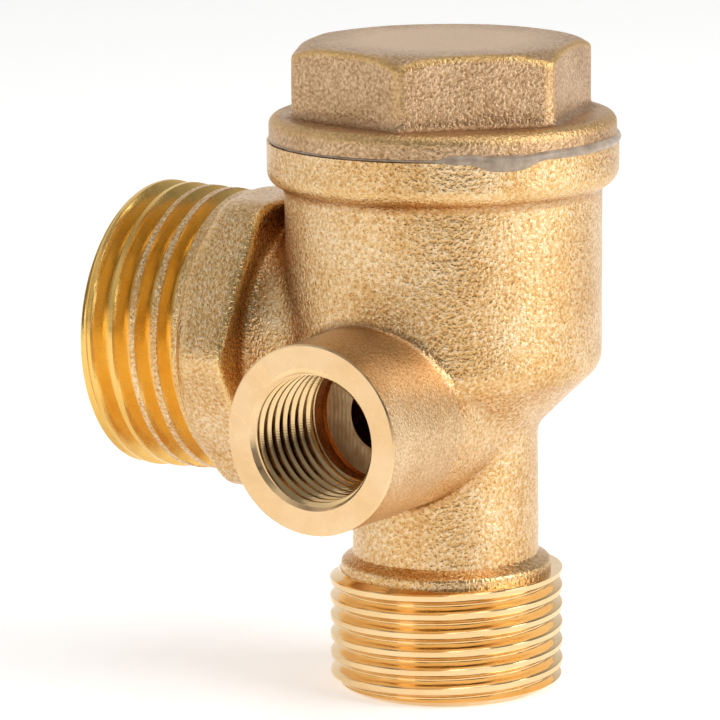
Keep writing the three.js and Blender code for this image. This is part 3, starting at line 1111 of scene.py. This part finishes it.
    def _port_tool(self, tapped: Material, shaded_bored: Material, faced: Material) -> Shape:
        """Tapped hole, its drilled end and the small hole into the inlet bore.

        Args:
            tapped: Finish of the thread.
            shaded_bored: Finish of the drilled end.
            faced: Finish of the chamfer at the mouth.

        Returns:
            The cutter.
        """
        end = self.port_end
        heading, sides = Heading.UNLOADER, self.port_thread.sides
        end, r, cross = self.port_end, self.drill_r, self.cross_r
        low, bottom = end - self.tap_depth, end - self.drill_depth
        crest_at = end - self.port_crest_depth
        tap = self.port_thread.rod("port_thread", low, end, crest_at, math.pi, heading)
        outline = [(0, low), (4.5, low), (5.3, low + 0.4), (5.3, end + 1), (0, end + 1)]
        coat(trimmed(tap, outline, sides, heading), tapped)
        outline = [(0, 3), (cross, 3), (cross, bottom - 0.45), (r - 0.17, bottom - 0.2),
                   (r, bottom), (r, low + 0.1), (0, low + 0.1)]
        # The drilled end takes the darker finish: painted shade deep in the hole.
        joined(tap, coat(turned("port_drill", outline, sides, heading), shaded_bored), Join.ADD)
        outline = [(0, end - 0.3), (4.6, end - 0.3), (4.9, end), (4.9, end + 1), (0, end + 1)]
        mouth = coat(turned("port_mouth", outline, sides, heading), faced)
        return joined(tap, mouth, Join.ADD)


@dataclass
class HexCap:
    """Screwed cap: forged hexagon and flange, cut skirt, spring well and guide bore."""

    flange_r: float = 12.25
    flange_bottom: float = 39.55
    flange_top: float = 41.2
    top: float = 46.3
    across_flats: float = 19.0
    first_corner_degrees: float = 14.2
    chamfer_r: float = 9.57
    chamfer_slope_degrees: float = 30.0
    step: float = 0.22
    thread: Thread = Thread(9.45, 0.3, 1.0, 0.12, 0.2, 120)

    def distance(self, points: Array) -> Array:
        """Distance to the forged head: a chamfered hexagon softly joined to the flange.

        Args:
            points: Millimetres, shape (n, 3).

        Returns:
            The distance, negative inside.
        """
        x, y, z = points.T
        rho = np.hypot(x, y)
        half = self.across_flats / 2
        flats = np.full(len(points), -half)
        for i in range(3):
            angle = math.radians(self.first_corner_degrees - 90 + 30 + 60 * i)
            across = np.abs(x * math.cos(angle) + y * math.sin(angle)) - half
            flats = across if i == 0 else soft_max(flats, across, 0.6)
        slope = math.radians(self.chamfer_slope_degrees)
        chamfer = (rho - self.chamfer_r) * math.sin(slope) + (z - self.top) * math.cos(slope)
        head = soft_max(flats, chamfer, 0.25)
        head = soft_max(head + waviness(points + 40, 7.0, 0.04), z - self.top, 0.3)
        head = np.maximum(head, self.flange_bottom - z)
        flange = drum(rho, z, self.flange_r, self.flange_bottom - 2.5, self.flange_top, 0.75)
        flange = np.maximum(flange, self.flange_bottom - 0.5 - z)
        return soft_min(head, flange, 0.6)

    def build(self) -> Shape:
        """Forge the head and cut the skirt, the well and the guide bore.

        Returns:
            The cap.
        """
        # The cap's edge colour is worn brass, partly a painted highlight; its crease colour is
        # painted shade.
        forged = BlastedForging(
            "sandblasted forged brass of the cap", "E2C09A", "C09C74", "987450", "E2B76E",
            "8A6240", 0.14, (0.34, 0.5), self.top - 0.1,
        ).material()
        cut = CutBrass("cut brass of the cap's skirt", "E2BC7E", "C4934E", Feed.Z, 0.24).material()
        r = self.flange_r + 1
        low = self.flange_bottom
        surface = skin(self.distance, (-r, -r, low - 1.2), (r, r, self.top + 1), self.step)
        head = coat(make_shape("hex_cap_detail", *surface), forged)
        foot = turned("cap_facing", [(0, low - 3), (15, low - 3), (15, low), (0, low)], 64)
        joined(head, coat(foot, cut), Join.CUT)
        skirt = self.thread.rod("cap_skirt", 35, low + 0.4, 36.2, 0.0, Heading.UP)
        outline = [(0, 35), (9.0, 35), (9.5, 35.4), (9.5, low + 0.3), (0, low + 0.3)]
        trimmed(skirt, outline, self.thread.sides)
        joined(head, coat(skirt, cut), Join.ADD)
        well = turned(
            "cap_well",
            [(0, 34), (7.3, 34), (7.3, 35), (7.0, 35.3), (7.0, 38.4), (3.3, 38.4), (3.1, 38.6),
             (3.1, 44.4), (0, 44.4)], 96,
        )
        joined(head, coat(well, cut), Join.CUT)
        mark_bends(head, self.distance, 0.35)
        return place(smoothed(head), "housing", "cap_brass", "hex_cap")


@dataclass
class SealantBead:
    """Sealant squeezed out of the joint: a thin line that swells and drips on one side."""

    seam: float = 39.45
    rim_r: float = 12.3
    depth: float = 0.25
    around: int = 720
    across: int = 18

    def swell(self, angle: Array) -> tuple[Array, Array, Array]:
        """Outward bulge, reach up and reach down of the bead.

        Each is a small constant with rounded humps added at chosen angles, in degrees from
        the unloader port towards +X. A hump is the exponential of minus the fourth power of
        the angle from its middle.

        Args:
            angle: Radians from +X, shape (n,).

        Returns:
            The three, in millimetres.
        """
        turn = (np.degrees(angle) + 90.0) % 360.0

        def hump(at: float, width: float) -> Array:
            """Flat-topped hump of the angle, one at its middle."""
            apart = (turn - at + 180.0) % 360.0 - 180.0
            return np.exp(-((apart / width) ** 4))

        ripple = 0.025 * np.sin(angle * 13) + 0.015 * np.sin(angle * 29 + 1.3)
        patch = 1 / (1 + np.exp(-(turn - 30.0) / 1.8)) * (turn < 180.0)
        bulge = -0.04 + 0.28 * patch + 0.2 * hump(51, 10) + 0.1 * hump(95, 14) + ripple
        up = 0.12 + 0.2 * patch + 0.15 * hump(36, 6) + 0.12 * hump(85, 20) + ripple
        down = 0.12 + 0.22 * patch + 0.62 * hump(51, 9.5) - ripple
        return bulge, np.maximum(up, 0.1), np.maximum(down, 0.1)

    def build(self) -> Shape:
        """Carry the bead's cross section round the seam.

        The section is a flattened oval; its height above and below the seam and its width
        come from ``swell``.

        Returns:
            The bead.
        """
        angle = np.arange(self.around) * TURN / self.around
        bulge, up, down = self.swell(angle)
        turn = (np.arange(self.across + 1) * TURN / self.across)[:, None]
        reach = np.where(np.sin(turn) > 0, up, down)
        radius = self.rim_r - self.depth + (self.depth + bulge) * np.cos(turn)
        height = self.seam + reach * np.sin(turn)
        points = np.stack([radius * np.cos(angle), radius * np.sin(angle), height], -1)
        faces = grid_faces(self.across + 1, self.around)
        bead = make_shape("sealant_bead_detail", points.reshape(-1, 3), faces)
        coat(bead, CURED_SEALANT.material())
        return place(smoothed(bead, 80), "housing", "cured_sealant", "sealant_bead")


@dataclass
class Poppet:
    """Moving parts: piston with its stem, rubber disc, washer and screw."""

    sides: int = 96

    def build(self) -> list[Shape]:
        """Turn the piston and mould the disc; the washer and the screw keep their CAD shape.

        Returns:
            The piston and the disc.
        """
        brass = CutBrass("turned brass of the piston", "EBC57E", "CB9848", Feed.Z, 0.18).material()
        piston = turned(
            "valve_piston_detail",
            rounded([
                (0, 30.5, 0), (6.5, 30.5, 0.1), (6.5, 28.9, 0.1), (7.6, 28.9, 0.15),
                (7.6, 31.5, 0.35), (3.0, 31.5, 0.5), (3.0, 40.5, 0.4), (0, 40.5, 0),
            ]), self.sides,
        )
        hole = turned("screw_hole", [(0, 30), (1.6, 30), (1.6, 33.9), (0, 33.9)], 48)
        joined(piston, hole, Join.CUT)
        coat(piston, brass)
        disc = turned(
            "seat_disc_detail",
            rounded([
                (1.6, 30.45, 0), (1.6, 28.25, 0.05), (6.4, 28.25, 0.25), (6.4, 30.45, 0.2),
                (1.6, 30.45, 0),
            ]), self.sides,
        )
        coat(disc, NITRILE_RUBBER.material())
        plated = ZINC_PLATE.material()
        for node in ("disc_washer", "disc_screw"):
            coat(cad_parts[node], plated)
        return [
            place(smoothed(piston), "poppet", "turned_brass", "valve_piston"),
            place(smoothed(disc), "poppet", "nitrile_rubber", "seat_disc"),
        ]


@dataclass
class ReturnSpring:
    """Compression spring between the piston's plate and the ceiling of the cap's well."""

    mean_r: float = 5.0
    wire_r: float = 0.4
    turns: float = 5.5
    closed: float = 0.8
    splay: float = 0.25
    low: float = 31.95
    high: float = 37.95
    steps_a_turn: int = 60
    around: int = 14

    def build(self) -> Shape:
        """Carry the wire's circle along a helix that climbs slowly in its end coils.

        Returns:
            The spring.
        """
        count = int(self.turns * self.steps_a_turn) + 1
        share = np.linspace(0, 1, count)
        coil = share * self.turns

        def eased(c: Array) -> Array:
            """Climb of the coil: none in the closed ends, steady between them."""
            return np.clip((c - self.closed) / (self.turns - 2 * self.closed), 0, 1)

        height = self.low + (self.high - self.low) * eased(coil)
        height += self.splay * (np.clip(coil / self.closed, 0, 1) - 1)
        height += self.splay * np.clip((coil - self.turns + self.closed) / self.closed, 0, 1)
        angle = coil * TURN
        centre = np.stack([self.mean_r * np.cos(angle), self.mean_r * np.sin(angle), height], 1)
        along = np.gradient(centre, axis=0)
        along /= np.linalg.norm(along, axis=1)[:, None]
        inward = -np.stack([np.cos(angle), np.sin(angle), np.zeros(count)], 1)
        side = np.cross(along, inward)
        turn = np.arange(self.around) * TURN / self.around
        cosine, sine = np.cos(turn)[None, :, None], np.sin(turn)[None, :, None]
        ring = cosine * inward[:, None] + sine * side[:, None]
        points = centre[:, None] + self.wire_r * ring
        ends = np.repeat(centre[[0, -1]][:, None], self.around, 1)
        points = np.concatenate([ends[:1], points, ends[1:]])
        faces = grid_faces(count + 2, self.around)
        spring = make_shape("return_spring_detail", points.reshape(-1, 3), faces)
        coat(spring, DRAWN_WIRE.material())
        return place(smoothed(spring, 50), "housing", "spring_steel", "return_spring")

    def squash(self, spring: Shape) -> None:
        """Work out where the top of the wire meets the cap and give the spring its own copy of its
        mesh.

        Args:
            spring: The finished spring.
        """
        anchor = SITE.metres(np.array([0.0, 0.0, self.high + self.wire_r]))
        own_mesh(spring)


# --------------------------------------------------------- studio


@dataclass
class Studio:
    """Pale floor, soft light and the camera.

    Angles are in degrees, the camera's distance and the point it aims at in millimetres.
    """

    azimuth: float = 31.53
    elevation: float = 10.90
    roll: float = -0.625
    distance: float = 335.2
    lens: float = 236.2
    aim: Pair = (-5.99, 23.49)
    floor_half: float = 3.0
    floor_glow: float = 0.42
    sky_strength: float = 0.95
    dark_aside: float = 18.0

    def build(self) -> None:
        """Lay the floor, hang the lights and set the camera."""
        self._floor()
        self._world()
        self._light("key", 102, 26, 0.55, 0.42, 2.05)
        self._light("fill", -56, 26, 0.6, 0.5, 0.35)
        self._light("top", 60, 78, 0.7, 0.45, 1.1)
        self._light("front", -14, 6, 0.6, 0.2, 0.24)
        self._camera()
        bpy.context.scene.view_settings.view_transform = "Standard"

    def _floor(self) -> None:
        """Plain pale floor, far larger than the object."""
        half = self.floor_half
        corners = [(-half, -half, 0), (half, -half, 0), (half, half, 0), (-half, half, 0)]
        mesh = bpy.data.meshes.new("floor")
        mesh.from_pydata(corners, [], [(0, 1, 2, 3)])
        floor = bpy.data.objects.new("floor", mesh)
        bpy.context.scene.collection.objects.link(floor)
        paint = Paint("matt white paper")
        colour = paint.ramp(paint.noise(3.0), (0.3, "F9F8F7"), (0.7, "FDFCFB"))
        glow = {"Emission_Color": linear("FFFFFF"), "Emission_Strength": self.floor_glow}
        coat(floor, paint.finished(colour, 0.9, **glow))

    def _world(self) -> None:
        """Soft surroundings: white behind the valve, with a dark patch right of the camera."""
        world = bpy.data.worlds.new("studio")
        bpy.context.scene.world = world
        world.use_nodes = True
        nodes = Nodes(world.node_tree)
        towards = tuple(self._direction(self.azimuth + self.dark_aside, self.elevation))
        way = nodes.add("TexCoord").outputs["Generated"]
        facing = nodes.vector("DOT_PRODUCT", way, towards, output="Value")
        tone = nodes.ramp(
            nodes.share(facing, -1, 1), (0.0, "FFFFFF"), (0.28, "CCCCCC"), (0.5, "868686"),
            (0.92, "8A8A8A"), (0.985, "505050"), (1.0, "484848"),
        )
        sky = nodes.add("Background", {"Color": tone, "Strength": self.sky_strength})
        nodes.add("OutputWorld", {"Surface": sky.outputs["Background"]})

    def _light(
        self, name: str, azimuth: float, elevation: float, distance: float, size: float,
        power: float,
    ) -> None:
        """Square soft light aimed at the middle of the valve.

        Args:
            name: The light's name.
            azimuth: Degrees from -Y towards +X.
            elevation: Degrees above the floor.
            distance: Metres.
            size: Side of the square, in metres.
            power: Watts.
        """
        data = bpy.data.lights.new(name, "AREA")
        data.size = size
        data.energy = power
        light = bpy.data.objects.new(name, data)
        bpy.context.scene.collection.objects.link(light)
        back = self._direction(azimuth, elevation)
        centre = Vector(SITE.metres(np.array([0.0, 0.0, MID_HEIGHT])))
        light.location = centre + back * distance
        light.rotation_mode = "QUATERNION"
        light.rotation_quaternion = back.to_track_quat("Z", "Y")

    def _camera(self) -> None:
        """Hang the camera: a long lens a third of a metre away, rolled by a hair."""
        data = bpy.data.cameras.new("camera")
        data.lens = self.lens
        data.clip_start, data.clip_end = 0.01, 20
        camera = bpy.data.objects.new("camera", data)
        bpy.context.scene.collection.objects.link(camera)
        back = self._direction(self.azimuth, self.elevation)
        angle = math.radians(self.azimuth)
        right = Vector((math.cos(angle), math.sin(angle), 0))
        up = back.cross(right)
        turn = math.radians(self.roll)
        axes = (
            right * math.cos(turn) + up * math.sin(turn),
            up * math.cos(turn) - right * math.sin(turn),
            back,
        )
        aside, height = self.aim
        target = Vector(SITE.metres(np.array([0.0, 0.0, height]))) + right * aside * MM
        location = target + back * self.distance * MM
        camera.matrix_world = (
            Matrix.Translation(location) @ Matrix(axes).transposed().to_4x4()
        )
        bpy.context.scene.camera = camera

    @staticmethod
    def _direction(azimuth: float, elevation: float) -> Vector:
        """Unit vector from the valve towards a viewer."""
        a, e = math.radians(azimuth), math.radians(elevation)
        return Vector((math.sin(a) * math.cos(e), -math.cos(a) * math.cos(e), math.sin(e)))


def main() -> None:
    """Build the studio and every sub-assembly, in order."""
    logging.basicConfig(level=logging.INFO, format="%(message)s")
    Studio().build()
    ValveBody().build()
    HexCap().build()
    SealantBead().build()
    Poppet().build()
    spring = ReturnSpring()
    spring.squash(spring.build())


if __name__ == "__main__":
    main()
